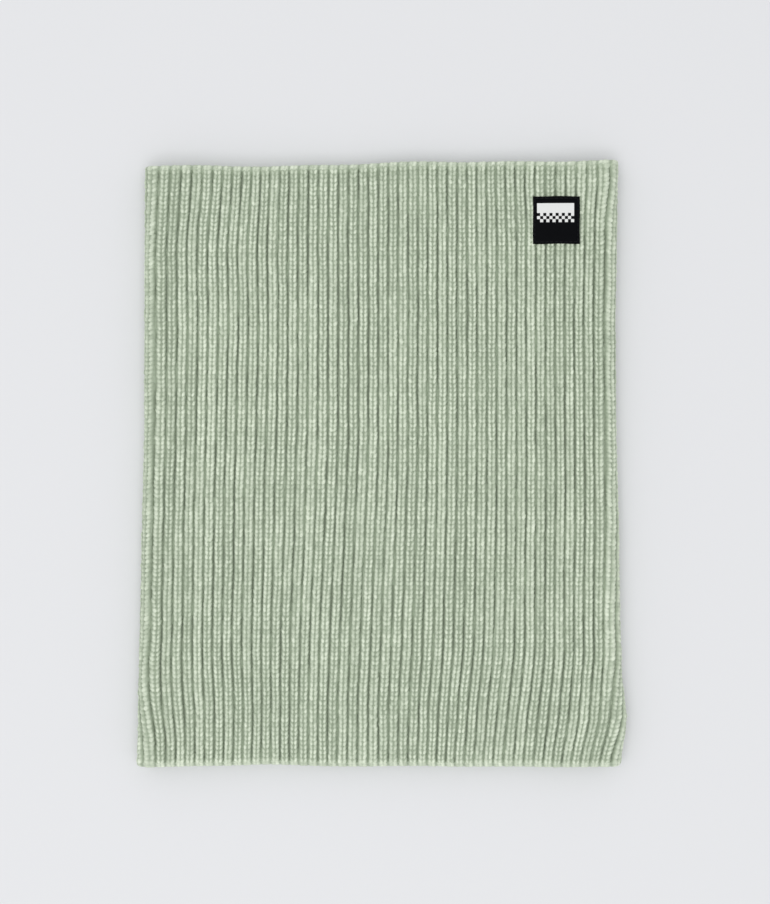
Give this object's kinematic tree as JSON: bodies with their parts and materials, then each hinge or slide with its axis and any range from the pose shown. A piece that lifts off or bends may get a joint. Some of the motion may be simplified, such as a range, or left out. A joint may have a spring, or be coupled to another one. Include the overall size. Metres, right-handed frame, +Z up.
{
  "type": "neck gaiter",
  "caption": "Rib-knit winter neck gaiter lying flat: a soft ribbed tube with finished ends, a back seam, a small woven label on the front and a care label inside.",
  "frame": {"origin": "middle of the underside, where the flat tube rests", "axes": "+X across the tube towards the fold on the label's side, +Y along the tube towards its top edge, +Z up through the two layers, out of the front"},
  "size_m": [0.244, 0.302, 0.0152],
  "materials": {
    "rib_knit": "matt rib knit in sage green yarn",
    "edge_yarn": "matt sage green yarn",
    "label_cloth": "woven damask, black with a white field",
    "label_thread": "black sewing thread",
    "care_satin": "white satin tape"
  },
  "bodies": {
    "root": {"rib_panel": "rib_knit", "top_cast_off_edge": "edge_yarn", "bottom_cast_on_edge": "edge_yarn", "back_seam_yarn": "edge_yarn", "top_bartack": "edge_yarn", "bottom_bartack": "edge_yarn", "woven_label": "label_cloth", "label_thread": "label_thread", "care_label": "care_satin"}
  },
  "joints": []
}
